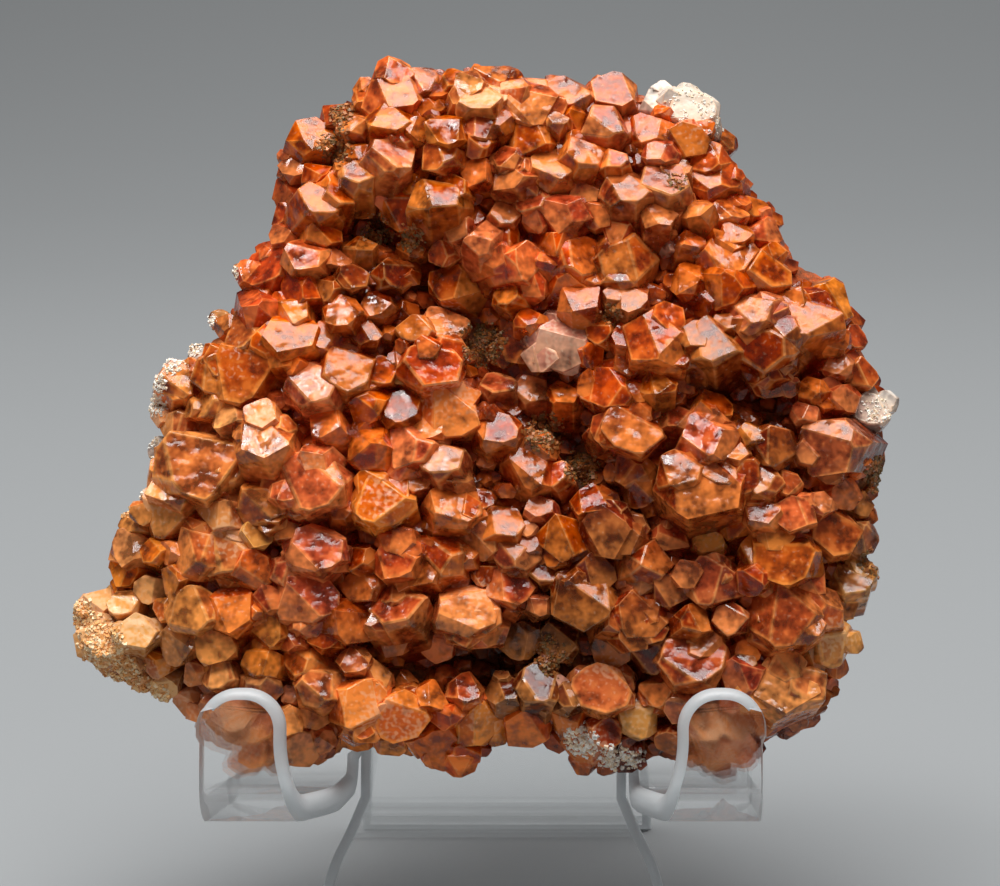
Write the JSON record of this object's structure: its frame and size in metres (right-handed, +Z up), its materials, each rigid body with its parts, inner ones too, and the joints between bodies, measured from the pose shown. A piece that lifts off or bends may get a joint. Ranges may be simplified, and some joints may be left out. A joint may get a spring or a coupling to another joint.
{
  "type": "calcite crystal cluster on a clear easel stand",
  "caption": "Orange calcite crystals packed over a leaning matrix plate, resting in the two hooks of a clear bent-sheet easel.",
  "frame": {"origin": "middle of the whole object's footprint box, on the surface the stand's two feet rest on", "axes": "+Z up; the crystal face looks to -Y and leans back by 16 degrees; +X to the viewer's right"},
  "size_m": [0.0956, 0.0584, 0.1055],
  "materials": {
    "calcite": "satin",
    "clear_acrylic": "polished"
  },
  "bodies": {
    "root": {"calcite_cluster": "calcite", "acrylic_stand": "clear_acrylic"}
  },
  "joints": []
}
